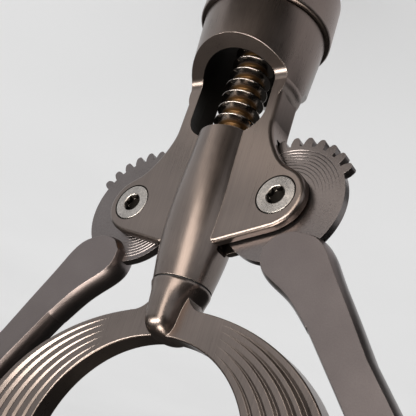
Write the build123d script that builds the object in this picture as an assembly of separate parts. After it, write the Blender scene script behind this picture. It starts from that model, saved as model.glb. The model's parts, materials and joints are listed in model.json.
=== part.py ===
"""Lever corkscrew, one STEP file per piece.  Millimetres, +Z towards the ring handle.

Origin: centre of the open bell rim.  Front face towards -Y.  Rest pose: handle seated, levers raised.
"""
import math
import os

from build123d import *

# Frame layout
PIVOT_X = 27.0
PIVOT_Z = 88.0
CHEEK_HALF = 5.52
SLOT_HALF = 2.5
SLOT_RADIUS = 23.4
SLOT_CORNER = 0.7

# Cheek outline; the nose is given from the pivot
CHEEK_EDGE = 1.3
PLATE_FOOT_Z = 38.0
STRIP_HALF = 18.5
STRIP_TOP_Z = 60.0
WING_FLANK = [(18.5, 60.0), (19.4, 65.2), (22.6, 71.9), (27.9, 77.8)]
WING_NOSE = [(5.3, -7.6), (8.2, -3.9), (9.1, 0.4), (7.9, 4.7), (5.2, 7.9), (2.4, 9.7), (-1.2, 10.9)]
WING_BELLY = [(10.6, 102.9), (0.0, 102.9)]

# Bell
BORE_RADIUS = 15.5
BELL_TOP_RADIUS = 19.6
BELL_TOP_Z = 44.0
BELL_FOOT_RADIUS = 21.35
BELL_FOOT_Z = 18.9
BELL_SHOULDER = (19.35, 47.5)
BELL_CROWN = (18.4, 50.0)
ROOF_RADIUS = 10.5
ROOF_Z = 63.6
DOME_Z = 56.0
DOME_MID = (13.7, 60.9)
CUT_FLOOR_Z = 41.94
CUT_FLOOR_SLOPE = 0.5
CUT_FILLET = 4.1
CUT_REACH = 30.0
CLEARANCE = 1.0
TOLERANCE = 0.01
SPIGOT_RADIUS = 18.6

# Mouth collar and liner
COLLAR_RADIUS = 23.1
COLLAR_TOP_Z = 18.4
COLLAR_EDGE = 1.2
LINER_OUTER = 17.2
LINER_BORE = 15.6
LINER_HEIGHT = 11.0
LINER_LEAD = 1.0

# Centre tube
TUBE_TOP_Z = 115.37
TUBE_TOP_RADIUS = 9.02
TUBE_WAIST_Z = 103.0
TUBE_WAIST_RADIUS = 10.6
TUBE_FOOT_RADIUS = 10.2
TUBE_FOOT_Z = 63.6
TUBE_BORE = 7.7
BUSH_RADIUS = 8.1
BUSH_BORE = 7.25
LOWER_BUSH = (63.6, 69.4)
UPPER_BUSH = (107.5, 115.3)

# Pivot hardware
SLEEVE_RADIUS = 4.0
SLEEVE_BORE = 2.5
SCREW_HEAD_RADIUS = 6.2
SCREW_HEAD_SEAT = 6.42
SCREW_HEAD_DEPTH = 1.3
SCREW_CHAMFER = 0.2
SCREW_SHANK_LENGTH = 2.2
SOCKET_DEPTH = 2.2
SOCKET_CORE = 2.35
SOCKET_MOUTH = 3.2
SOCKET_LEAD = 0.6
LOBE_RADIUS = 0.88
LOBE_CENTRE = 2.2
LOBES = 6
WASHER_RADIUS = 7.6
WASHER_GAP = 0.03

# Gear discs
GEAR_HALF = 1.355
GEAR_ROOT = 19.56
GEAR_TIP = 22.58
GEAR_BORE = 4.05
PITCH_RADIUS = 21.86
TOOTH_STEP = 12.4
FIRST_TOOTH_ANGLE = 0.81
TEETH_BEFORE = 2
TEETH_AFTER = 12
PRESSURE_ANGLE = 25.0
BACKLASH = 0.30
RACK_SHARE = 0.51
TIP_ROUND = 1.05
TOOTH_SINK = 0.5
MARKS = 8
MARK_START = 10.6
MARK_STEP = 1.05
MARK_WIDTH = 0.42
MARK_DEPTH = 0.16
MARK_LEANS = {1: 135.0, -1: 262.0}

# Lever arms, offsets from the pivot: outward, up
ARM_HALF = 4.2
ARM_INNER = [(0.0, 19.5), (1.6, 23.2), (4.0, 25.4), (7.0, 27.5), (13.0, 32.3), (19.0, 39.0), (28.0, 51.0)]
ARM_INNER_END = (52.4, 84.6)
ARM_OUTER_END = (61.4, 79.6)
ARM_TIP = (62.4, 90.4)
ARM_OUTER = [(37.0, 46.4), (29.4, 33.8), (22.0, 21.6), (19.3, 17.1)]
ARM_HEAD = [(19.3, 17.1), (17.0, 14.5), (14.5, 13.0), (11.5, 12.1), (7.8, 11.6), (4.6, 12.3), (2.2, 13.7),
            (0.5, 16.0), (0.0, 19.5)]
TANG_WIDTH = 7.0
TANG_END = (18.0, 32.5)
TANG_START = (8.0, 14.0)
DOWEL_RADIUS = 1.25
DOWEL_NEAR = (9.5, 18.0)
DOWEL_FAR = (16.2, 28.6)
DOWEL_DEPTH = 7.0

# Rack spindle
RACK_RADIUS = 7.2
RACK_ROOT = 4.2
RINGS_ABOVE = 3
RINGS_BELOW = 13
RACK_CREST_ROUND = 0.22
PEG_RADIUS = 4.5
PEG_TOP_Z = 125.5
SPINDLE_SHOULDER_Z = 115.93
FOOT_RADIUS = 6.0
FOOT_Z = 22.0
FOOT_TOP_Z = 26.2
FOOT_CHAMFER = 0.8
WORM_BORE = 2.4
WORM_BORE_DEPTH = 12.0
WORM_PIN_RADIUS = 1.0
WORM_PIN_Z = 24.2
WORM_PIN_HALF = 5.9

# Seat washer
SEAT_WASHER_RADIUS = 8.7
SEAT_WASHER_BORE = 7.25
SEAT_WASHER_BOTTOM = 115.39
SEAT_WASHER_THICKNESS = 0.5

# Ring handle
HANDLE_FLOOR_Z = 115.93
PLATE_HALF = 3.4
PLATE_EDGE = 0.5
RING_CENTRE_Z = 166.7
RING_OUTER = (61.0, 43.3)
RING_INNER = (37.4, 34.5)
NECK_SECTIONS = [(115.93, 9.02, 9.02, 2.0), (118.2, 8.0, 9.1, 2.1), (121.0, 6.4, 9.1, 2.4),
                 (124.0, 5.5, 9.0, 2.7), (127.0, 5.1, 8.8, 2.8), (129.5, 4.7, 8.3, 2.7),
                 (131.2, 4.0, 7.0, 2.5), (132.1, 3.1, 5.2, 2.3), (132.5, 2.2, 3.4, 2.0)]
NECK_POINTS = 24
WEB_START = (6.0, 118.6)
WEB_MIDDLE = (8.4, 122.6)
WEB_END = (13.6, 124.6)
WEB_FLOOR_Z = 127.0
GROOVES = (0.17, 0.34, 0.52, 0.69, 0.86)
GROOVE_START_X = 20.5
GROOVE_DEPTH = 0.85
GROOVE_SLOPE = 62.0
GROOVE_FLAT = 0.03
SET_SCREW_RADIUS = 1.5
SET_SCREW_Z = 120.5
SET_SCREW_SOCKET = 0.85
SET_SCREW_END = 8.6
SET_SCREW_KEY_DEPTH = 1.6

# Worm
WIRE_RADIUS = 1.3
HELIX_RADIUS = 3.2
HELIX_PITCH = 9.5
HELIX_TOP_Z = 20.0
HELIX_HEIGHT = 47.5
POINT_LENGTH = 7.0
POINT_END = 0.15
WORM_COLLAR_RADIUS = 4.7
WORM_COLLAR_Z = 18.0


def save(shape, name):
    """Name the shape and write it into parts/."""
    shape.label = name
    export_step(shape, os.path.join("parts", name + ".step"))


def upright(points, origin_x=0.0, origin_z=0.0, side=1):
    """Turn outward/up pairs into points of the XZ plane."""
    return [Vector(origin_x + side * x, 0, origin_z + z) for x, z in points]


def slab(face, half):
    """Thicken a face lying in the XZ plane to both sides."""
    return extrude(face, amount=half, dir=(0, -1, 0), both=True)


def plug(radius, bottom, height):
    """Round bar on the Z axis."""
    return Pos(0, 0, bottom) * Cylinder(radius, height, align=(Align.CENTER, Align.CENTER, Align.MIN))


def ring(outer, inner, bottom, height):
    """Plain ring on the Z axis."""
    return plug(outer, bottom, height) - plug(inner, bottom, height)


def across(radius, y_from, y_to, x, z):
    """Round bar along Y."""
    bar = Cylinder(radius, abs(y_to - y_from))
    return Pos(x, (y_from + y_to) / 2, z) * Rot(90, 0, 0) * bar


# ---------------------------------------------------------------- frame
def plate_half():
    """Right half of the flat block: bell strip, wing and the stretch behind the tube."""
    strip = Polyline((0, 0, PLATE_FOOT_Z), (STRIP_HALF, 0, PLATE_FOOT_Z), (STRIP_HALF, 0, STRIP_TOP_Z))
    nose = upright(WING_NOSE, PIVOT_X, PIVOT_Z)
    flank = upright(WING_FLANK) + nose
    wing = Spline(*flank, tangents=[Vector(0, 0, 1), Vector(-0.96, 0, 0.26)])
    closing = Polyline(nose[-1], *upright(WING_BELLY), (0, 0, PLATE_FOOT_Z))
    return make_face(strip + wing + closing)


def plate_block():
    """Both halves as one flat block with rounded outer edges, before slotting."""
    half = slab(plate_half(), CHEEK_HALF)
    block = half + mirror(half, about=Plane.YZ)
    outline = block.faces().sort_by(Axis.Y)[0].outer_wire().edges()
    outline += block.faces().sort_by(Axis.Y)[-1].outer_wire().edges()
    return fillet(outline, CHEEK_EDGE)


def bell_outside():
    """Turned outside of the bell."""
    outline = Polyline(
        (BELL_CROWN[0], 0, BELL_CROWN[1]), (0, 0, BELL_CROWN[1]), (0, 0, 0), (SPIGOT_RADIUS, 0, 0),
        (SPIGOT_RADIUS, 0, BELL_FOOT_Z), (BELL_FOOT_RADIUS, 0, BELL_FOOT_Z), (BELL_TOP_RADIUS, 0, BELL_TOP_Z))
    shoulder = ThreePointArc((BELL_TOP_RADIUS, 0, BELL_TOP_Z), (BELL_SHOULDER[0], 0, BELL_SHOULDER[1]),
                             (BELL_CROWN[0], 0, BELL_CROWN[1]))
    return revolve(make_face(outline + shoulder), Axis.Z)


def bell_cavity():
    """Room for the cork: straight bore with a domed roof."""
    wall = Polyline((ROOF_RADIUS, 0, ROOF_Z), (0, 0, ROOF_Z), (0, 0, -CLEARANCE),
                    (BORE_RADIUS, 0, -CLEARANCE), (BORE_RADIUS, 0, DOME_Z))
    dome = ThreePointArc((BORE_RADIUS, 0, DOME_Z), (DOME_MID[0], 0, DOME_MID[1]), (ROOF_RADIUS, 0, ROOF_Z))
    return revolve(make_face(wall + dome), Axis.Z)


def face_cut():
    """The milled flat on the front: cheek plane running down into a hollow, sloping floor."""
    floor_rise = CUT_FLOOR_SLOPE * (CUT_REACH - CHEEK_HALF)
    profile = Polyline(
        (0, -CHEEK_HALF, CUT_FLOOR_Z), (0, -CUT_REACH, CUT_FLOOR_Z - floor_rise),
        (0, -CUT_REACH, PIVOT_Z * 2), (0, -CHEEK_HALF, PIVOT_Z * 2), close=True)
    face = make_face(profile)
    corner = face.vertices().filter_by_position(Axis.Z, CUT_FLOOR_Z - TOLERANCE, CUT_FLOOR_Z + TOLERANCE)
    face = fillet(corner, CUT_FILLET)
    return extrude(face, amount=PIVOT_X * 3, dir=(1, 0, 0), both=True)


def tube_outside():
    """Centre tube, slightly swollen, tapering to the handle."""
    side = Spline((TUBE_FOOT_RADIUS, 0, TUBE_FOOT_Z), (TUBE_WAIST_RADIUS, 0, TUBE_WAIST_Z),
                  (TUBE_TOP_RADIUS, 0, TUBE_TOP_Z), tangents=[Vector(0.01, 0, 1), Vector(-0.16, 0, 1)])
    rest = Polyline((TUBE_TOP_RADIUS, 0, TUBE_TOP_Z), (0, 0, TUBE_TOP_Z), (0, 0, TUBE_FOOT_Z),
                    (TUBE_FOOT_RADIUS, 0, TUBE_FOOT_Z))
    return revolve(make_face(side + rest), Axis.Z)


def gear_slot(x):
    """Round slot for one gear disc, with rounded corners."""
    slot = across(SLOT_RADIUS, -SLOT_HALF, SLOT_HALF, x, PIVOT_Z)
    return fillet(slot.edges().filter_by(GeomType.CIRCLE), SLOT_CORNER)


def screw_seats(x):
    """Through bore and two flush head seats for one pivot."""
    seats = across(SLEEVE_RADIUS, -CHEEK_HALF, CHEEK_HALF, x, PIVOT_Z)
    for face in (-1, 1):
        seat = face * (CHEEK_HALF - SCREW_HEAD_DEPTH)
        seats += across(SCREW_HEAD_SEAT, seat, face * CHEEK_HALF, x, PIVOT_Z)
    return seats


def bell_frame():
    """One casting: bell, cheeks and tube."""
    front = face_cut()
    block = bell_outside() - front - mirror(front, about=Plane.XZ)
    block = block + plate_block() - bell_cavity() - plug(LINER_OUTER, 0, LINER_HEIGHT) + tube_outside()
    block -= plug(TUBE_BORE, TUBE_FOOT_Z - CLEARANCE, TUBE_TOP_Z - TUBE_FOOT_Z + 2 * CLEARANCE)
    for bottom, top in (LOWER_BUSH, UPPER_BUSH):
        block -= plug(BUSH_RADIUS, bottom, top - bottom)
    for side in (-1, 1):
        block -= gear_slot(side * PIVOT_X)
        block -= screw_seats(side * PIVOT_X)
    return block


def mouth_collar():
    """Wider ring over the spigot of the bell."""
    body = ring(COLLAR_RADIUS, SPIGOT_RADIUS, 0, COLLAR_TOP_Z)
    outer_edges = [e for e in body.edges().filter_by(GeomType.CIRCLE) if e.radius > SPIGOT_RADIUS + CLEARANCE]
    return fillet(outer_edges, COLLAR_EDGE)


def mouth_liner():
    """Soft lip guide, chamfered where the bottle enters."""
    body = ring(LINER_OUTER, LINER_BORE, 0, LINER_HEIGHT)
    lead = [e for e in body.edges().filter_by(GeomType.CIRCLE)
            if abs(e.radius - LINER_BORE) < TOLERANCE and e.center().Z < LINER_LEAD]
    return chamfer(lead, LINER_LEAD)


def bush(zone):
    """Plain bearing for the rack."""
    bottom, top = zone
    return ring(BUSH_RADIUS, BUSH_BORE, bottom, top - bottom)


# ---------------------------------------------------------------- pivot hardware
def socket(x, face):
    """Six-lobe driver recess at one cheek face."""
    outer = face * CHEEK_HALF
    inner = face * (CHEEK_HALF - SOCKET_DEPTH)
    recess = across(SOCKET_CORE, inner, outer, x, PIVOT_Z)
    lead = Cone(SOCKET_CORE, SOCKET_MOUTH, SOCKET_LEAD)
    recess += Pos(x, face * (CHEEK_HALF - SOCKET_LEAD / 2), PIVOT_Z) * Rot(-90 * face, 0, 0) * lead
    for number in range(LOBES):
        angle = math.radians(number * 360 / LOBES)
        lobe_x = x + LOBE_CENTRE * math.cos(angle)
        lobe_z = PIVOT_Z + LOBE_CENTRE * math.sin(angle)
        recess += across(LOBE_RADIUS, inner, outer, lobe_x, lobe_z)
    return recess


def pivot_screw(x, face):
    """Shoulder screw with a flush head; face is -1 for the front and 1 for the back."""
    seat = face * (CHEEK_HALF - SCREW_HEAD_DEPTH)
    head = across(SCREW_HEAD_RADIUS, seat, face * CHEEK_HALF, x, PIVOT_Z)
    rim = head.edges().filter_by(GeomType.CIRCLE).sort_by(Axis.Y)
    head = chamfer(rim[0] if face < 0 else rim[-1], SCREW_CHAMFER)
    shoulder = across(SLEEVE_RADIUS, face * SLOT_HALF, seat, x, PIVOT_Z)
    shank = across(SLEEVE_BORE, face * (SLOT_HALF - SCREW_SHANK_LENGTH), face * SLOT_HALF, x, PIVOT_Z)
    return head + shoulder + shank - socket(x, face)


def pivot_sleeve(x):
    """Hard sleeve clamped between the cheeks."""
    return (across(SLEEVE_RADIUS, -SLOT_HALF, SLOT_HALF, x, PIVOT_Z)
            - across(SLEEVE_BORE, -SLOT_HALF, SLOT_HALF, x, PIVOT_Z))


def thrust_washer(x, face):
    """Washer that keeps the gear disc in the middle of the slot."""
    near = face * (GEAR_HALF + WASHER_GAP)
    far = face * SLOT_HALF
    return across(WASHER_RADIUS, near, far, x, PIVOT_Z) - across(SLEEVE_RADIUS, near, far, x, PIVOT_Z)


# ---------------------------------------------------------------- levers
def involute(angle):
    """Involute function."""
    return math.tan(angle) - angle


def flank_half_angle(radius):
    """Half the angle that a tooth takes up at this radius."""
    base = PITCH_RADIUS * math.cos(math.radians(PRESSURE_ANGLE))
    pitch = PITCH_RADIUS * math.radians(TOOTH_STEP)
    thickness = pitch * (1 - RACK_SHARE) - BACKLASH / 2
    at_pitch = thickness / (2 * PITCH_RADIUS) + involute(math.radians(PRESSURE_ANGLE))
    return at_pitch - involute(math.acos(min(1.0, base / radius)))


def gear_tooth():
    """One tooth pointing along +X from the gear centre."""
    radii = [GEAR_ROOT - TOOTH_SINK, GEAR_ROOT + CLEARANCE, PITCH_RADIUS, GEAR_TIP]
    side = [Vector(r * math.cos(flank_half_angle(r)), 0, r * math.sin(flank_half_angle(r))) for r in radii]
    other = [Vector(p.X, 0, -p.Z) for p in side]
    flank = Line(side[0], side[1]) + Spline(*side[1:])
    back = Line(other[0], other[1]) + Spline(*other[1:])
    tip = ThreePointArc(side[-1], (GEAR_TIP, 0, 0), other[-1])
    tooth = slab(make_face(flank + tip + back + Line(other[0], side[0])), GEAR_HALF)
    tip_edges = [e for e in tooth.edges().filter_by(Axis.Y) if e.center().X > PITCH_RADIUS]
    return fillet(tip_edges, TIP_ROUND)


def tang():
    """Tongue of the disc that reaches up inside the arm."""
    run = Vector(TANG_END[0] - TANG_START[0], 0, TANG_END[1] - TANG_START[1])
    angle = math.degrees(math.atan2(run.Z, run.X))
    bar = Box(run.length, GEAR_HALF * 2, TANG_WIDTH, align=(Align.MIN, Align.CENTER, Align.CENTER))
    return Pos(TANG_START[0], 0, TANG_START[1]) * Rot(0, -angle, 0) * bar


def disc_blank():
    """Disc and tang, also used to slot the arm."""
    return across(GEAR_ROOT, -GEAR_HALF, GEAR_HALF, 0, 0) + tang()


def dowel(place):
    """Blind dowel, entered from the back of the arm."""
    return across(DOWEL_RADIUS, ARM_HALF - DOWEL_DEPTH, ARM_HALF, *place)


def tool_marks(lean):
    """Shallow turned rings for the front face, leaning so that they fade out on one side."""
    rings = []
    for number in range(MARKS):
        radius = MARK_START + number * MARK_STEP
        wide = -2 * MARK_DEPTH
        outline = Polyline((radius, 0), (radius - MARK_WIDTH, wide), (radius + MARK_WIDTH, wide), close=True)
        rings.append(revolve(make_face(outline), Axis.Y))
    slope = math.degrees(MARK_DEPTH / GEAR_ROOT)
    return Pos(0, -GEAR_HALF, 0) * Rot(0, -lean, 0) * Rot(0, 0, slope) * Compound(rings)


def gear(lean):
    """Gear disc with its tang, centred on the pivot, outward along +X."""
    body = disc_blank()
    tooth = gear_tooth()
    for number in range(-TEETH_BEFORE, TEETH_AFTER + 1):
        turn = 180 - FIRST_TOOTH_ANGLE - number * TOOTH_STEP
        body += Rot(0, turn, 0) * tooth
    body -= across(GEAR_BORE, -GEAR_HALF, GEAR_HALF, 0, 0)
    front = tool_marks(lean)
    body = body - front - mirror(front, about=Plane.XZ)
    return body - dowel(DOWEL_NEAR) - dowel(DOWEL_FAR)


def arm_outline():
    """Flat front of the lever arm, from the pivot."""
    inner = Spline(*upright(ARM_INNER), tangents=[Vector(0.1, 0, 1), Vector(0.59, 0, 0.81)])
    inner_end = upright([ARM_INNER[-1]])[0]
    outer_start = upright([ARM_OUTER[0]])[0]
    ends = upright([ARM_INNER_END, ARM_TIP, ARM_OUTER_END])
    inner += Line(inner_end, ends[0])
    tip = ThreePointArc(*ends)
    outer = Line(ends[2], outer_start) + Spline(
        *upright(ARM_OUTER), tangents=[Vector(-0.52, 0, -0.85), Vector(-0.6, 0, -0.8)])
    head = Spline(*upright(ARM_HEAD), tangents=[Vector(-0.6, 0, -0.8), Vector(0.1, 0, 1)])
    return make_face(inner + tip + outer + head)


def arm():
    """Lever arm: a flat bar, slotted for the disc."""
    return slab(arm_outline(), ARM_HALF) - disc_blank() - dowel(DOWEL_NEAR) - dowel(DOWEL_FAR)


def to_side(shape, side):
    """Place a shape drawn about the pivot on the right (1) or left (-1) pivot."""
    placed = shape if side > 0 else mirror(shape, about=Plane.YZ)
    return Pos(side * PIVOT_X, 0, PIVOT_Z) * placed


# ---------------------------------------------------------------- spindle
def rack_crests():
    """Heights of all ring crests, lowest first."""
    pitch = PITCH_RADIUS * math.radians(TOOTH_STEP)
    first = PIVOT_Z - PITCH_RADIUS * math.radians(FIRST_TOOTH_ANGLE)
    return [first + pitch * (number + 0.5) for number in range(-RINGS_BELOW, RINGS_ABOVE)]


def rack_section():
    """Half section of the spindle, with one trapezium for each ring."""
    pitch = PITCH_RADIUS * math.radians(TOOTH_STEP)
    slope = math.tan(math.radians(PRESSURE_ANGLE))
    at_pitch = (pitch * RACK_SHARE - BACKLASH / 2) / 2
    pitch_line = PIVOT_X - PITCH_RADIUS
    crest_half = at_pitch - (RACK_RADIUS - pitch_line) * slope
    root_half = at_pitch + (pitch_line - RACK_ROOT) * slope
    points = [(0, FOOT_Z), (FOOT_RADIUS - FOOT_CHAMFER, FOOT_Z), (FOOT_RADIUS, FOOT_Z + FOOT_CHAMFER),
              (FOOT_RADIUS, FOOT_TOP_Z), (RACK_ROOT, FOOT_TOP_Z)]
    crests = rack_crests()
    for z in crests:
        points += [(RACK_ROOT, z - root_half), (RACK_RADIUS, z - crest_half)]
        if z < crests[-1]:
            points += [(RACK_RADIUS, z + crest_half), (RACK_ROOT, z + root_half)]
    points += [(RACK_RADIUS, SPINDLE_SHOULDER_Z), (PEG_RADIUS, SPINDLE_SHOULDER_Z), (PEG_RADIUS, PEG_TOP_Z),
               (0, PEG_TOP_Z)]
    face = make_face(Polyline(*upright(points), close=True))
    corners = [v for v in face.vertices()
               if abs(v.X - RACK_RADIUS) < TOLERANCE and v.Z < crests[-1] + crest_half + TOLERANCE]
    return fillet(corners, RACK_CREST_ROUND)


def rack_spindle():
    """Round rack with a plain guide length, handle peg and worm foot."""
    body = revolve(rack_section(), Axis.Z)
    return body - plug(WORM_BORE, FOOT_Z, WORM_BORE_DEPTH) - worm_pin()


def worm_pin():
    """Cross pin that holds the worm in the foot of the spindle."""
    return across(WORM_PIN_RADIUS, -WORM_PIN_HALF, WORM_PIN_HALF, 0, WORM_PIN_Z)


def worm():
    """Open right-hand wire helix with a shank and a ground point."""
    bottom = HELIX_TOP_Z - HELIX_HEIGHT
    coil = Helix(HELIX_PITCH, HELIX_HEIGHT, HELIX_RADIUS, center=(0, 0, bottom))
    wire_plane = Plane(coil @ 0, z_dir=coil % 0)
    body = sweep(wire_plane * Circle(WIRE_RADIUS), path=coil, is_frenet=True)
    body += plug(WORM_COLLAR_RADIUS, WORM_COLLAR_Z, FOOT_Z - WORM_COLLAR_Z)
    point = Cone(WIRE_RADIUS, POINT_END, POINT_LENGTH, align=(Align.CENTER, Align.CENTER, Align.MIN))
    body += Plane(coil @ 0, z_dir=-(coil % 0)) * point
    body += plug(WORM_BORE, FOOT_Z - CLEARANCE, WORM_BORE_DEPTH + CLEARANCE)
    return body - worm_pin()


def seat_washer():
    """Thin washer that rides under the handle neck."""
    return ring(SEAT_WASHER_RADIUS, SEAT_WASHER_BORE, SEAT_WASHER_BOTTOM, SEAT_WASHER_THICKNESS)


def set_screw():
    """Grub screw entered from the back of the neck."""
    body = across(SET_SCREW_RADIUS, PEG_RADIUS, SET_SCREW_END, 0, SET_SCREW_Z)
    key = RegularPolygon(SET_SCREW_SOCKET, 6)
    recess = extrude(Plane.XZ.offset(-SET_SCREW_END) * key, amount=SET_SCREW_KEY_DEPTH)
    return body - Pos(0, 0, SET_SCREW_Z) * recess


def groove(place):
    """Wide V-shaped oval channel for the front face, leaning so that it deepens away from the neck."""
    a = RING_OUTER[0] + place * (RING_INNER[0] - RING_OUTER[0])
    b = RING_OUTER[1] + place * (RING_INNER[1] - RING_OUTER[1])
    spread = GROOVE_DEPTH * math.tan(math.radians(GROOVE_SLOPE))
    floor = Plane.XZ.offset(PLATE_HALF)
    top = Plane.XZ.offset(PLATE_HALF + GROOVE_DEPTH)
    outer = loft([floor * Ellipse(a + GROOVE_FLAT, b + GROOVE_FLAT), top * Ellipse(a + spread, b + spread)])
    inner = loft([floor * Ellipse(a - GROOVE_FLAT, b - GROOVE_FLAT), top * Ellipse(a - spread, b - spread)])
    lean = math.degrees(math.atan2(GROOVE_DEPTH, RING_OUTER[0] - GROOVE_START_X))
    swing = Pos(GROOVE_START_X, -PLATE_HALF, 0) * Rot(0, 0, lean) * Pos(-GROOVE_START_X, PLATE_HALF, 0)
    return swing * (outer - inner)


def ring_plate():
    """Oval finger ring with crisp edges and fading grooves on both faces."""
    plate = slab(Plane.XZ * (Ellipse(*RING_OUTER) - Ellipse(*RING_INNER)), PLATE_HALF)
    plate = fillet(plate.edges().filter_by(GeomType.ELLIPSE), PLATE_EDGE)
    for place in GROOVES:
        right_front = groove(place)
        left_front = mirror(right_front, about=Plane.YZ)
        plate = plate - right_front - left_front
        plate = plate - mirror(right_front, about=Plane.XZ) - mirror(left_front, about=Plane.XZ)
    return Pos(0, 0, RING_CENTRE_Z) * plate


def web():
    """Flat web that flares from the neck into the ring."""
    flare = ThreePointArc(*upright([WEB_START, WEB_MIDDLE, WEB_END]))
    corners = [WEB_END, (WEB_END[0], WEB_FLOOR_Z), (0, WEB_FLOOR_Z), (0, WEB_START[1]), WEB_START]
    back = Polyline(*upright(corners))
    half = slab(make_face(flare + back), PLATE_HALF)
    return half + mirror(half, about=Plane.YZ)


def neck_section(z, half_x, half_y, squareness):
    """Outline between an ellipse (squareness 2) and a rounded box."""
    points = []
    for number in range(NECK_POINTS):
        turn = math.tau * number / NECK_POINTS
        x = math.copysign(abs(math.cos(turn)) ** (2 / squareness), math.cos(turn)) * half_x
        y = math.copysign(abs(math.sin(turn)) ** (2 / squareness), math.sin(turn)) * half_y
        points.append((x, y, z))
    return make_face(Spline(*points, periodic=True))


def neck():
    """Neck that continues the tube and runs out as a tongue on the ring."""
    return loft([neck_section(*section) for section in NECK_SECTIONS])


def ring_handle():
    """Finger ring, neck and tongue in one piece."""
    body = ring_plate() + web() + neck()
    body -= plug(PEG_RADIUS, HANDLE_FLOOR_Z, PEG_TOP_Z - HANDLE_FLOOR_Z)
    hole = across(SET_SCREW_RADIUS, PEG_RADIUS - CLEARANCE, TUBE_TOP_RADIUS + CLEARANCE, 0, SET_SCREW_Z)
    return body - hole


os.makedirs("parts", exist_ok=True)
save(bell_frame(), "bell_frame")
save(mouth_collar(), "mouth_collar")
save(mouth_liner(), "mouth_liner")
save(bush(LOWER_BUSH), "lower_bush")
save(bush(UPPER_BUSH), "upper_bush")
for label, side in (("left", -1), ("right", 1)):
    pivot = side * PIVOT_X
    save(pivot_sleeve(pivot), label + "_sleeve")
    for face_name, face in (("front", -1), ("back", 1)):
        save(pivot_screw(pivot, face), label + "_" + face_name + "_screw")
        save(thrust_washer(pivot, face), label + "_" + face_name + "_washer")
    save(to_side(gear(MARK_LEANS[side]), side), label + "_gear")
    save(to_side(arm(), side), label + "_arm")
    save(to_side(dowel(DOWEL_NEAR), side), label + "_dowel_near")
    save(to_side(dowel(DOWEL_FAR), side), label + "_dowel_far")
save(seat_washer(), "seat_washer")
save(rack_spindle(), "rack_spindle")
save(ring_handle(), "ring_handle")
save(set_screw(), "handle_screw")
save(worm(), "worm")
save(worm_pin(), "worm_pin")
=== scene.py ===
"""Studio scene for the lever corkscrew: finishes, shaped lever arms, floor, lights and camera.

Everything is in metres, in the part's own frame: the bell's rim is at Z 0 and the handle points up.
"""

import json
import math

import bmesh
import bpy
from mathutils import Matrix, Vector


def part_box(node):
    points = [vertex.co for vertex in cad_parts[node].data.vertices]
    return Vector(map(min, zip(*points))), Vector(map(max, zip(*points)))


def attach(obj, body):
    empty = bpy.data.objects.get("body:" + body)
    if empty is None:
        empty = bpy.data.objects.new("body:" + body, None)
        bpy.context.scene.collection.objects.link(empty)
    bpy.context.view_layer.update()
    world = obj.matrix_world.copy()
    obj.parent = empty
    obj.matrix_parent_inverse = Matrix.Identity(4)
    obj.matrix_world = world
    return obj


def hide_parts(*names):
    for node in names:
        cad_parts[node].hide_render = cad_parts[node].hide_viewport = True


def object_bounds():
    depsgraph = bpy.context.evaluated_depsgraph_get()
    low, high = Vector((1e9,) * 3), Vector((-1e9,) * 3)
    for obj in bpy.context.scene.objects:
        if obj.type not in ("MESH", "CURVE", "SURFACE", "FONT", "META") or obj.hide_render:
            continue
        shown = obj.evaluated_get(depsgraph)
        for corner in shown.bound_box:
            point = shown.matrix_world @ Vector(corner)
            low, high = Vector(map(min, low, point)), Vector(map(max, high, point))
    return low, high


MM = 0.001

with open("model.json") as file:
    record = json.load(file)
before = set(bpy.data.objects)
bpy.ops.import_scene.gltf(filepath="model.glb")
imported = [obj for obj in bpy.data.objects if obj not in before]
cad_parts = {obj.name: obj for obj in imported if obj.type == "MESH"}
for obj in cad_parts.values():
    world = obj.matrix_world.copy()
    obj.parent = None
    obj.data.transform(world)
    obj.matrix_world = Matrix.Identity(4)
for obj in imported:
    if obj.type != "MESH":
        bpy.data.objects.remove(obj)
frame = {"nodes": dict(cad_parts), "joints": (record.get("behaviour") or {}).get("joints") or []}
cad_low, cad_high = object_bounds()
nodes = frame["nodes"]
joint = {j["name"]: j for j in frame["joints"]}

LEFT_PIVOT = Vector(joint["left_lever_hinge"]["pos_m"])
RIGHT_PIVOT = Vector(joint["right_lever_hinge"]["pos_m"])
BETWEEN_PIVOTS = Vector((0, 0, LEFT_PIVOT.z))


# ---------------------------------------------------------------- camera

CAMERA_OFFSET = Vector((-0.1428, -0.1660, 0.1071))
VIEW_AXIS = Vector((0.586, 0.681, -0.439)).normalized()
VIEW_UP = Vector((-0.035, -0.519, -0.854))
LENS = 68.41
SENSOR = 36.0
NEAREST_SEEN = 0.01
FARTHEST_SEEN = 20


def make_camera():
    """The camera looks down at the pivots from the front left and is rolled, so the handle hangs low."""
    data = bpy.data.cameras.new("camera")
    data.lens = LENS
    data.sensor_width = SENSOR
    data.clip_start = NEAREST_SEEN
    data.clip_end = FARTHEST_SEEN
    camera = bpy.data.objects.new("camera", data)
    bpy.context.scene.collection.objects.link(camera)
    back = -VIEW_AXIS
    right = VIEW_UP.cross(back).normalized()
    up = back.cross(right)
    turn = Matrix((right, up, back)).transposed().to_4x4()
    camera.matrix_world = Matrix.Translation(BETWEEN_PIVOTS + CAMERA_OFFSET) @ turn
    bpy.context.scene.camera = camera


# ---------------------------------------------------------------- shader helpers

Y_AXIS = (0.0, 1.0, 0.0)
Z_AXIS = (0.0, 0.0, 1.0)
# What counts of an offset towards its distance from an axis.
FROM_Y_AXIS = (1.0, 0.0, 1.0)
FROM_Z_AXIS = (1.0, 1.0, 0.0)
BEVEL_SAMPLES = 4


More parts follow.
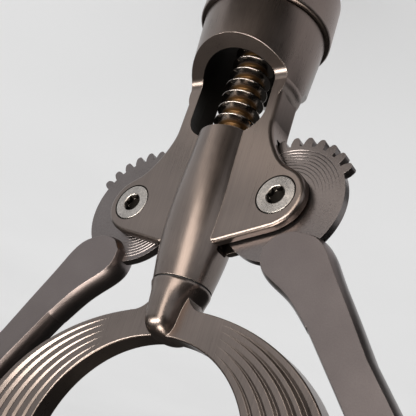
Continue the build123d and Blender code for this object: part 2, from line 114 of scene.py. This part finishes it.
class Nodes:
    """A short way to write a node tree: each call adds a node and links its inputs."""

    def __init__(self, tree):
        self.tree = tree
        self.tree.nodes.clear()

    def fill(self, socket, value):
        if isinstance(value, bpy.types.NodeSocket):
            self.tree.links.new(value, socket)
        else:
            socket.default_value = value

    def add(self, kind, values=None, **settings):
        node = self.tree.nodes.new(kind)
        for name, value in settings.items():
            setattr(node, name, value)
        for key, value in (values or {}).items():
            self.fill(node.inputs[key], value)
        return node

    def math(self, operation, a, b=0.0, clamp=False):
        node = self.add("ShaderNodeMath", {0: a, 1: b}, operation=operation, use_clamp=clamp)
        return node.outputs[0]

    def vector(self, operation, a, b=(0, 0, 0)):
        node = self.add("ShaderNodeVectorMath", {0: a, 1: b}, operation=operation)
        return node.outputs["Value" if operation in ("LENGTH", "DOT_PRODUCT") else "Vector"]

    def remap(self, value, low, high, to_low=0.0, to_high=1.0):
        values = {"Value": value, "From Min": low, "From Max": high, "To Min": to_low, "To Max": to_high}
        return self.add("ShaderNodeMapRange", values, clamp=True).outputs["Result"]

    def noise(self, vector, scale, detail=2.0, roughness=0.5):
        values = {"Vector": vector, "Scale": scale, "Detail": detail, "Roughness": roughness}
        return self.add("ShaderNodeTexNoise", values).outputs["Fac"]

    def stretched(self, vector, scale):
        return self.add("ShaderNodeMapping", {"Vector": vector, "Scale": scale}).outputs["Vector"]

    def mix_colour(self, factor, a, b):
        """A blend of two colours; the numbers are the node's own places for factor, colours and result."""
        node = self.add("ShaderNodeMix", {0: factor, 6: a, 7: b}, data_type="RGBA", clamp_factor=True)
        return node.outputs[2]

    def place(self):
        """A point of the surface at rest, in the part's frame."""
        return self.add("ShaderNodeTexCoord").outputs["Object"]

    def distance(self, offset, from_axis):
        """How far an offset reaches from an axis."""
        return self.vector("LENGTH", self.vector("MULTIPLY", offset, from_axis))

    def rounded(self, radius):
        """The surface's normal, with its edges rounded to a radius."""
        return self.add("ShaderNodeBevel", {"Radius": radius}, samples=BEVEL_SAMPLES).outputs["Normal"]

    def edge(self, radius, strength):
        """Up to 1 on sharp edges, falling to 0 a radius away from them."""
        flat = self.add("ShaderNodeNewGeometry").outputs["Normal"]
        bend = self.math("SUBTRACT", 1.0, self.vector("DOT_PRODUCT", self.rounded(radius), flat))
        return self.math("MULTIPLY", bend, strength, clamp=True)

    def relief(self, height, strength, depth, soft_edge):
        """The normal of a surface with soft edges and small heights on it."""
        normal = self.rounded(soft_edge)
        values = {"Strength": strength, "Distance": depth, "Height": height, "Normal": normal}
        return self.add("ShaderNodeBump", values).outputs["Normal"]

    def surface(self, shader):
        self.add("ShaderNodeOutputMaterial", {"Surface": shader})


def new_material(name):
    material = bpy.data.materials.new(name)
    material.use_nodes = True
    return material, Nodes(material.node_tree)


def rgba(red, green, blue):
    return (red, green, blue, 1.0)


# ---------------------------------------------------------------- metal and polymer

# Painted shade: the near-black painted into the cork chamber, the gaps around the screw heads and the
# driver sockets.
PAINTED_SHADE_BLACK = rgba(0.020, 0.018, 0.016)
# Painted reflection: the warm surroundings painted into the rack's roots.
PAINTED_AMBER_REFLECTION = rgba(0.20, 0.12, 0.055)

ALONG_Z = (1.0, 1.0, 0.02)
ALONG_Y = (1.0, 0.02, 1.0)
EVEN = (1.0, 1.0, 1.0)

SOFT_EDGE = 0.25 * MM
CLOUD_SCALE = 60.0
FINE_SHARE = 0.5
# The range of the noise that spans the whole of a colour, a gloss or a wear.
TINT_LOW, TINT_HIGH = 0.32, 0.68
GLOSS_LOW, GLOSS_HIGH = 0.25, 0.75
WEAR_LOW, WEAR_HIGH = 0.3, 0.6
WEAR_LEAST = 0.4
WEAR_GAIN = 2.5
# How much rougher the painted shade and painted reflection make a surface.
PAINTED_LIGHT_ROUGHNESS = 0.25
GRAIN_UNDER_MARKS = 0.25
METAL_RELIEF = 0.05 * MM


def metal(name, dark, light, worn, roughness, grain, grain_scale, bump,
          soft_edge=SOFT_EDGE, marks=None, painted_light=None, painted_colour=PAINTED_SHADE_BLACK):
    """A metal with a directional grain in its colour, gloss and relief, worn brighter on its edges.

    grain stretches the noise: the finish runs along the axis with the smallest number.
    painted_light, where given, is a function that returns how far a surface takes the colour named
    painted_colour; it paints shade into recesses and a reflection into the rack's roots.
    soot, where given, is a function that returns how far a surface takes the colour named hollow.
    """
    material, n = new_material(name)
    place = n.place()
    fine = n.noise(n.stretched(place, grain), grain_scale, detail=3.0, roughness=0.6)
    cloud = n.noise(place, CLOUD_SCALE, detail=3.0)
    tint = n.math("ADD", n.math("MULTIPLY", fine, FINE_SHARE), n.math("MULTIPLY", cloud, 1.0 - FINE_SHARE))
    colour = n.mix_colour(n.remap(tint, TINT_LOW, TINT_HIGH), dark, light)
    patchy = n.remap(cloud, WEAR_LOW, WEAR_HIGH, WEAR_LEAST, 1.0)
    colour = n.mix_colour(n.math("MULTIPLY", n.edge(soft_edge, WEAR_GAIN), patchy), colour, worn)
    gloss = n.remap(tint, GLOSS_LOW, GLOSS_HIGH, roughness[0], roughness[1])
    # Painted light, where a mask is given: shade painted into recesses and a reflection painted into the
    # rack's roots, both also adding roughness.
    if painted_light is not None:
        painted_share = painted_light(n, place)
        colour = n.mix_colour(painted_share, colour, painted_colour)
        gloss = n.math("ADD", gloss, n.math("MULTIPLY", painted_share, PAINTED_LIGHT_ROUGHNESS))
    height = fine
    if marks is not None:
        height = n.math("ADD", n.math("MULTIPLY", fine, GRAIN_UNDER_MARKS), marks(n, place))
    relief = n.relief(height, bump, METAL_RELIEF, soft_edge)
    values = {"Base Color": colour, "Roughness": gloss, "Normal": relief, "Metallic": 1.0}
    n.surface(n.add("ShaderNodeBsdfPrincipled", values).outputs["BSDF"])
    return material


POLYMER_DARK = rgba(0.012, 0.012, 0.013)
POLYMER_LIGHT = rgba(0.030, 0.029, 0.028)
POLYMER_BUMP = 0.25
POLYMER_RELIEF = 0.04 * MM
SPARK_SCALE = 3500.0
SHADE_SCALE = 120.0
MIDDLE_LOW, MIDDLE_HIGH = 0.3, 0.7


def black_polymer():
    """Moulded polymer with a fine spark-eroded grain."""
    material, n = new_material("black_polymer")
    place = n.place()
    grain = n.noise(place, SPARK_SCALE)
    shade = n.remap(n.noise(place, SHADE_SCALE), MIDDLE_LOW, MIDDLE_HIGH)
    colour = n.mix_colour(shade, POLYMER_DARK, POLYMER_LIGHT)
    gloss = n.remap(grain, MIDDLE_LOW, MIDDLE_HIGH, to_low=0.42, to_high=0.62)
    relief = n.relief(grain, POLYMER_BUMP, POLYMER_RELIEF, SOFT_EDGE)
    values = {"Base Color": colour, "Roughness": gloss, "Normal": relief}
    n.surface(n.add("ShaderNodeBsdfPrincipled", values).outputs["BSDF"])
    return material


# ---------------------------------------------------------------- tool marks, painted shade and painted reflection

CHAMBER_RADIUS = 15.56 * MM
CHAMBER_ROOF = 63.6 * MM
CHEEK_FOOT = 41.0 * MM
CHEEK_FACE = 5.52 * MM
SEAT_RADIUS = 6.5 * MM
BLEND = 0.08 * MM

SOCKET_RADIUS = 3.0 * MM
SOCKET_FADE = 1.02
SOCKET_START = 0.02 * MM
SOCKET_FULL = 0.25 * MM
TURNING_STEP = 0.35 * MM

RACK_CREST = 6.0 * MM
RACK_ROOT = 4.9 * MM


def painted_casting_shade(n, place):
    """1 on the wall and roof of the cork chamber, where shade is painted, and in the gap around each screw
    head, where a shadow is painted.

    Above the cheeks' foot, the chamber counts only behind their flat faces.
    """
    depth = n.math("ABSOLUTE", n.vector("DOT_PRODUCT", place, Y_AXIS))
    height = n.vector("DOT_PRODUCT", place, Z_AXIS)
    behind_cheek = n.remap(depth, CHEEK_FACE - BLEND, CHEEK_FACE - 2 * BLEND)
    below_cheek = n.remap(height, CHEEK_FOOT, CHEEK_FOOT - BLEND)
    # Painted shade on the cork chamber's wall and roof.
    within = n.remap(n.distance(place, FROM_Z_AXIS), CHAMBER_RADIUS + BLEND, CHAMBER_RADIUS)
    below_roof = n.remap(height, CHAMBER_ROOF + BLEND, CHAMBER_ROOF)
    inside = n.math("MULTIPLY", within, below_roof)
    chamber = n.math("MULTIPLY", inside, n.math("MAXIMUM", behind_cheek, below_cheek))
    # Painted shadow in the gap around each screw head.
    offset = n.vector("SUBTRACT", n.vector("ABSOLUTE", place), tuple(RIGHT_PIVOT))
    seat = n.remap(n.distance(offset, FROM_Y_AXIS), SEAT_RADIUS + BLEND, SEAT_RADIUS)
    return n.math("MAXIMUM", chamber, seat)


def turning_about(pivot):
    """Height of the fine turning marks in a screw head's face."""

    def marks(n, place):
        radius = n.distance(n.vector("SUBTRACT", place, tuple(pivot)), FROM_Y_AXIS)
        return n.math("SINE", n.math("MULTIPLY", radius, math.tau / TURNING_STEP))

    return marks


def painted_socket_shade(pivot, face):
    """Painted shade in a driver recess, from just under the face of a screw head."""

    def painted_light(n, place):
        # Painted shade: the socket is blackened where shade falls in it.
        offset = n.vector("SUBTRACT", place, tuple(pivot))
        height = n.math("ABSOLUTE", n.vector("DOT_PRODUCT", offset, Y_AXIS))
        within = n.remap(n.distance(offset, FROM_Y_AXIS), SOCKET_RADIUS * SOCKET_FADE, SOCKET_RADIUS)
        under_face = n.remap(n.math("SUBTRACT", face, height), SOCKET_START, SOCKET_FULL)
        return n.math("MULTIPLY", within, under_face)

    return painted_light


def painted_root_reflection(n, place):
    """1 in the roots of the round rack, where an amber reflection is painted into the plating."""
    return n.remap(n.distance(place, FROM_Z_AXIS), RACK_CREST, RACK_ROOT)


# ---------------------------------------------------------------- finishes


def satin_gunmetal(name, grain, painted_light=None):
    """The casting, its collar and the ring handle: brown-grey metal with a satin sheen."""
    dark = rgba(0.164, 0.139, 0.127)
    light = rgba(0.222, 0.187, 0.171)
    worn = rgba(0.50, 0.45, 0.41)
    return metal(name, dark, light, worn, roughness=(0.25, 0.33), grain=grain, grain_scale=2600.0,
                 bump=0.17, painted_light=painted_light)


def forged_gunmetal():
    """The lever arms: a cooler, tumbled version of the same finish."""
    dark = rgba(0.158, 0.136, 0.133)
    light = rgba(0.205, 0.180, 0.177)
    worn = rgba(0.40, 0.36, 0.34)
    return metal("forged_gunmetal", dark, light, worn, roughness=(0.28, 0.38), grain=EVEN,
                 grain_scale=2600.0, bump=0.12)


def gear_steel():
    """The gear discs: grey steel with crisper edges than the casting's."""
    dark = rgba(0.146, 0.130, 0.127)
    light = rgba(0.214, 0.193, 0.190)
    worn = rgba(0.26, 0.235, 0.23)
    return metal("gear_steel", dark, light, worn, roughness=(0.25, 0.33), grain=EVEN,
                 grain_scale=1500.0, bump=0.3, soft_edge=0.12 * MM)


def screw_steel(name, pivot):
    """Turned screw heads around one pivot, front and back, with painted shade in their sockets."""
    dark = rgba(0.27, 0.255, 0.24)
    light = rgba(0.54, 0.51, 0.485)
    worn = rgba(0.85, 0.80, 0.74)
    face = pivot.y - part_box(name)[0].y
    return metal("screw_steel_" + name, dark, light, worn, roughness=(0.18, 0.34), grain=EVEN,
                 grain_scale=1500.0, bump=0.3, marks=turning_about(pivot), painted_light=painted_socket_shade(pivot, face))


def dark_chrome(name, painted_reflection=None):
    """The rack and the worm: glossy dark plating, with a painted amber reflection where a mask is given."""
    dark = rgba(0.34, 0.31, 0.29)
    light = rgba(0.46, 0.42, 0.39)
    worn = rgba(0.7, 0.66, 0.62)
    return metal(name, dark, light, worn, roughness=(0.10, 0.18), grain=ALONG_Z, grain_scale=1200.0,
                 bump=0.05, soft_edge=0.15 * MM, painted_light=painted_reflection, painted_colour=PAINTED_AMBER_REFLECTION)


def hard_steel():
    """Sleeves, dowels and pins."""
    dark = rgba(0.42, 0.40, 0.38)
    light = rgba(0.55, 0.53, 0.50)
    worn = rgba(0.8, 0.78, 0.75)
    return metal("hard_steel", dark, light, worn, roughness=(0.18, 0.30), grain=ALONG_Y,
                 grain_scale=1600.0, bump=0.1)


def bearing_bronze():
    """Bushes and thrust washers."""
    dark = rgba(0.46, 0.27, 0.13)
    light = rgba(0.62, 0.38, 0.20)
    worn = rgba(0.85, 0.62, 0.38)
    return metal("bearing_bronze", dark, light, worn, roughness=(0.24, 0.40), grain=EVEN,
                 grain_scale=1500.0, bump=0.15)


def dress_nodes():
    """Gives every CAD node the finish of its material."""
    steel = hard_steel()
    bronze = bearing_bronze()
    polymer = black_polymer()
    gears = gear_steel()
    forged = forged_gunmetal()
    finish = {
        # The casting: painted shade in the cork chamber and painted shadow around the screw heads.
        "bell_frame": satin_gunmetal("satin_gunmetal_casting", ALONG_Z, painted_casting_shade),
        "mouth_collar": satin_gunmetal("satin_gunmetal_even", EVEN),
        "ring_handle": satin_gunmetal("satin_gunmetal_upright", ALONG_Z),
        # The rack: a painted amber reflection in its roots.
        "rack_spindle": dark_chrome("dark_chrome_rack", painted_root_reflection),
        "worm": dark_chrome("dark_chrome"),
        "mouth_liner": polymer,
        "seat_washer": polymer,
        "lower_bush": bronze,
        "upper_bush": bronze,
        "worm_pin": steel,
        "handle_screw": steel,
    }
    for side, pivot in (("left", LEFT_PIVOT), ("right", RIGHT_PIVOT)):
        heads = screw_steel(side + "_front_screw", pivot)
        finish[side + "_gear"] = gears
        finish[side + "_arm"] = forged
        finish[side + "_sleeve"] = steel
        finish[side + "_dowel_near"] = steel
        finish[side + "_dowel_far"] = steel
        for face in ("front", "back"):
            finish[f"{side}_{face}_screw"] = heads
            finish[f"{side}_{face}_washer"] = bronze
    for name, node in nodes.items():
        node.data.materials.clear()
        node.data.materials.append(finish[name])


# ---------------------------------------------------------------- lever arms

ARM_BULGE = 1.0 * MM
ARM_LEVELS = 12
# The shaped back lies this far under the dowels' flush ends, so that they show.
BACK_RECESS = 0.02 * MM
SAME = 1e-6
DECIMALS = 6
CRISP = math.radians(35)


def face_outline(mesh, height):
    """The closed outline, in order, of the faces that lie in the plane Y = height."""
    edges = []
    for polygon in mesh.polygons:
        points = [mesh.vertices[v].co for v in polygon.vertices]
        if any(abs(point.y - height) >= SAME for point in points):
            continue
        corners = [(round(point.x, DECIMALS), round(point.z, DECIMALS)) for point in points]
        edges += zip(corners, corners[1:] + corners[:1])
    both_ways = set(edges)
    following = {a: b for a, b in edges if (b, a) not in both_ways}
    start = min(following)
    loop = [start]
    while following[loop[-1]] != start:
        loop.append(following[loop[-1]])
    return [Vector(point) for point in loop]


def outward(loop):
    """For each point of a closed outline, the direction straight out of it."""
    area = sum(a.x * b.y - b.x * a.y for a, b in zip(loop, loop[1:] + loop[:1]))
    turn = 1 if area > 0 else -1
    directions = []
    for number, point in enumerate(loop):
        before = (point - loop[number - 1]).normalized()
        after = (loop[(number + 1) % len(loop)] - point).normalized()
        along = (before + after).normalized()
        directions.append(Vector((along.y, -along.x)) * turn)
    return directions


def shape_arm(side):
    """Lever arm with flanks that swell between its two flat faces."""
    node = side + "_arm"
    low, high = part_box(node)
    loop = face_outline(nodes[node].data, low.y)
    directions = outward(loop)
    back = high.y - BACK_RECESS
    count = len(loop)
    points = []
    faces = []
    for level in range(ARM_LEVELS + 1):
        share = level / ARM_LEVELS
        swell = ARM_BULGE * (1 - (2 * share - 1) ** 2)
        for point, direction in zip(loop, directions):
            spot = point + direction * swell
            points.append((spot.x, low.y + share * (back - low.y), spot.y))
    for level in range(ARM_LEVELS):
        here = level * count
        above = here + count
        for n in range(count):
            beside = (n + 1) % count
            faces.append((here + n, here + beside, above + beside, above + n))
    faces.append(tuple(range(count)))
    faces.append(tuple(range(ARM_LEVELS * count, len(points))))
    data = bpy.data.meshes.new(node + "_shaped")
    data.from_pydata(points, [], faces)
    mesh = bmesh.new()
    mesh.from_mesh(data)
    bmesh.ops.recalc_face_normals(mesh, faces=mesh.faces)
    mesh.to_mesh(data)
    mesh.free()
    data.shade_smooth()
    data.set_sharp_from_angle(angle=CRISP)
    piece = bpy.data.objects.new(node + "_shaped", data)
    bpy.context.scene.collection.objects.link(piece)
    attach(piece, side + "_lever")
    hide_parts(node)
    data.materials.append(nodes[node].data.materials[0])


# ---------------------------------------------------------------- studio

FLOOR_RADIUS = 3.0
FLOOR_SIDES = 96
FLOOR_GAP = 0.2 * MM
PAPER_SCALE = 6.0
PAPER_DARK = rgba(0.80, 0.80, 0.80)
PAPER_LIGHT = rgba(0.83, 0.83, 0.83)
ROOM_COLOUR = rgba(1.0, 0.96, 0.92)
ROOM_STRENGTH = 0.025
BACKDROP_STRENGTH = 0.73
WHITE = (1.0, 1.0, 1.0)
WARM = (1.0, 0.94, 0.87)
CREAM = (1.0, 0.90, 0.80)
BLUSH = (1.0, 0.94, 0.93)


def make_floor():
    """A pale seamless floor just under the lowest point of the object."""
    bpy.ops.mesh.primitive_circle_add(vertices=FLOOR_SIDES, radius=FLOOR_RADIUS, fill_type="NGON",
                                      location=(0, 0, cad_low.z - FLOOR_GAP))
    floor = bpy.context.object
    floor.name = "floor"
    material, n = new_material("floor_paper")
    tone = n.remap(n.noise(n.place(), PAPER_SCALE), MIDDLE_LOW, MIDDLE_HIGH)
    colour = n.mix_colour(tone, PAPER_DARK, PAPER_LIGHT)
    n.surface(n.add("ShaderNodeBsdfDiffuse", {"Color": colour}).outputs["BSDF"])
    floor.data.materials.append(material)


def make_world():
    """A dim room for reflections; the camera and matt surfaces see a pale backdrop instead."""
    world = bpy.data.worlds.new("room")
    bpy.context.scene.world = world
    world.use_nodes = True
    n = Nodes(world.node_tree)
    path = n.add("ShaderNodeLightPath")
    seen = n.math("MAXIMUM", path.outputs["Is Camera Ray"], path.outputs["Is Diffuse Ray"])
    room = n.add("ShaderNodeBackground", {"Color": ROOM_COLOUR, "Strength": ROOM_STRENGTH})
    backdrop = n.add("ShaderNodeBackground", {"Color": rgba(*WHITE), "Strength": BACKDROP_STRENGTH})
    both = n.add("ShaderNodeMixShader", {0: seen, 1: room.outputs[0], 2: backdrop.outputs[0]})
    n.add("ShaderNodeOutputWorld", {"Surface": both.outputs[0]})


def softbox(name, direction, distance, size, power, colour, mirrored=True, floods=True):
    """A soft light aimed at the pivots.

    If mirrored, it shows in glossy surfaces, and if it floods, it lights matt ones.
    """
    data = bpy.data.lights.new(name, "AREA")
    data.shape = "RECTANGLE"
    data.size = size[0]
    data.size_y = size[1]
    data.energy = power
    data.color = colour
    lamp = bpy.data.objects.new(name, data)
    bpy.context.scene.collection.objects.link(lamp)
    away = Vector(direction).normalized()
    lamp.location = BETWEEN_PIVOTS + away * distance
    lamp.rotation_mode = "QUATERNION"
    lamp.rotation_quaternion = away.to_track_quat("Z", "Y")
    lamp.visible_camera = False
    lamp.visible_glossy = mirrored
    lamp.visible_diffuse = floods


def make_lights():
    """One wide light for the floor and its shadow, and two that show only in glossy surfaces."""
    softbox("overhead", direction=(0.0, 0.0, 1.0), distance=1.6, size=(2.4, 2.4), power=9.5,
            colour=WHITE, mirrored=False)
    softbox("front", direction=(0.10, -0.80, 0.50), distance=1.0, size=(1.3, 0.34), power=21.0,
            colour=WARM, floods=False)
    softbox("top", direction=(-0.21, -0.10, 0.94), distance=1.0, size=(0.6, 0.5), power=10.0,
            colour=CREAM, floods=False)


CARD_LIFT = 1 * MM
# Level directions: from the object towards the camera, and square to that.
FORWARD = Vector((-0.652, -0.758, 0))
ASIDE = Vector((0.758, -0.652, 0))


def reflected_card(name, corners, colour, strength, rise=0.0):
    """A card that shows only in glossy surfaces: it lies on the floor, and may stand up along its far edge.

    corners are distances forward of the object and aside from it, the two far ones last.
    """
    height = Vector((0, 0, cad_low.z + CARD_LIFT))
    spots = [FORWARD * forward + ASIDE * aside + height for forward, aside in corners]
    faces = [(0, 1, 2, 3)]
    if rise:
        spots += [spot + Vector((0, 0, rise)) for spot in spots[2:]]
        faces.append((3, 2, 4, 5))
    mesh = bpy.data.meshes.new(name)
    mesh.from_pydata([tuple(spot) for spot in spots], [], faces)
    card = bpy.data.objects.new(name, mesh)
    bpy.context.scene.collection.objects.link(card)
    material, n = new_material(name)
    glow = n.add("ShaderNodeEmission", {"Color": rgba(*colour), "Strength": strength})
    n.surface(glow.outputs["Emission"])
    mesh.materials.append(material)
    card.visible_camera = False
    card.visible_diffuse = False
    card.visible_shadow = False


def make_cards():
    """A bright strip that widens away from the object, and darker cards beside it."""
    reflected_card("bright_near", [(0.01, 0.136), (0.01, 0.160), (0.20, 0.200), (0.20, 0.148)],
                   CREAM, strength=2.3)
    reflected_card("bright_far", [(0.20, 0.148), (0.20, 0.200), (0.33, 0.260), (0.33, 0.110)],
                   CREAM, strength=5.2)
    reflected_card("bright_end", [(0.33, 0.10), (0.33, 0.30), (0.66, 0.54), (0.66, 0.08)],
                   CREAM, strength=4.4, rise=0.3)
    reflected_card("dark_middle", [(0.02, -0.03), (0.02, 0.118), (0.42, 0.115), (0.42, -0.06)],
                   CREAM, strength=0.05)
    reflected_card("dark_side", [(-0.06, -0.24), (-0.06, -0.13), (0.08, -0.13), (0.08, -0.24)],
                   CREAM, strength=0.02)
    reflected_card("dark_corner", [(0.08, -0.24), (0.08, -0.03), (0.17, -0.03), (0.22, -0.24)],
                   CREAM, strength=0.02)
    reflected_card("grey_side", [(-0.06, -0.13), (-0.06, -0.03), (0.08, -0.03), (0.08, -0.13)],
                   BLUSH, strength=0.72)


bpy.context.scene.view_settings.view_transform = "Standard"
make_camera()
make_world()
make_lights()
make_floor()
make_cards()
dress_nodes()
for lever_side in ("left", "right"):
    shape_arm(lever_side)
